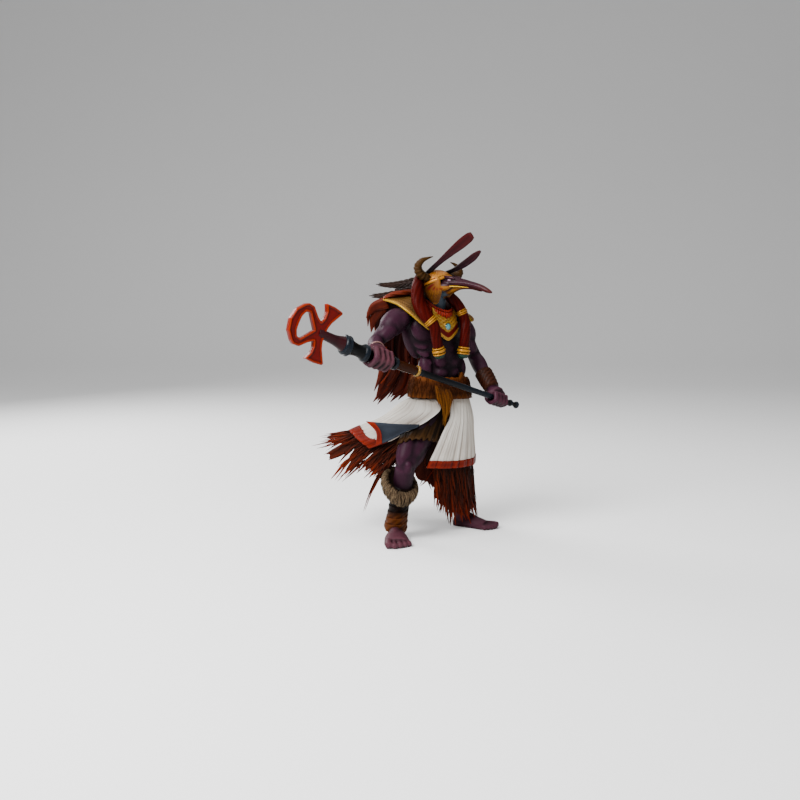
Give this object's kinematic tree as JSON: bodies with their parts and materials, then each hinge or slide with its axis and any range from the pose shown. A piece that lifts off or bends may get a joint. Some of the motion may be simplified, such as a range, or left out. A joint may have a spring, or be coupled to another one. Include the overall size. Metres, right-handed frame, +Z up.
{
  "type": "seth statue",
  "caption": "Standing animal-headed Egyptian god in a blown kilt and torn cape, holding an ankh-headed staff across the body; stands on its own bare feet.",
  "frame": {"origin": "middle of the whole statue's box, on the ground that its soles stand on", "axes": "+Z up through the ears, +X to the right as the statue is seen from the front, +Y towards its back"},
  "size_m": [0.2118, 0.189, 0.2907],
  "materials": {
    "painted_resin": "hand-painted cast resin, semi-gloss skin, matt cloth and gilt trim",
    "red_enamel": "red enamel with worn lighter edges, dark grip and collars",
    "blue_stone": "polished turquoise-blue cabochon"
  },
  "bodies": {
    "root": {"figure": "painted_resin", "staff": "red_enamel", "collar_stone": "blue_stone"}
  },
  "joints": []
}
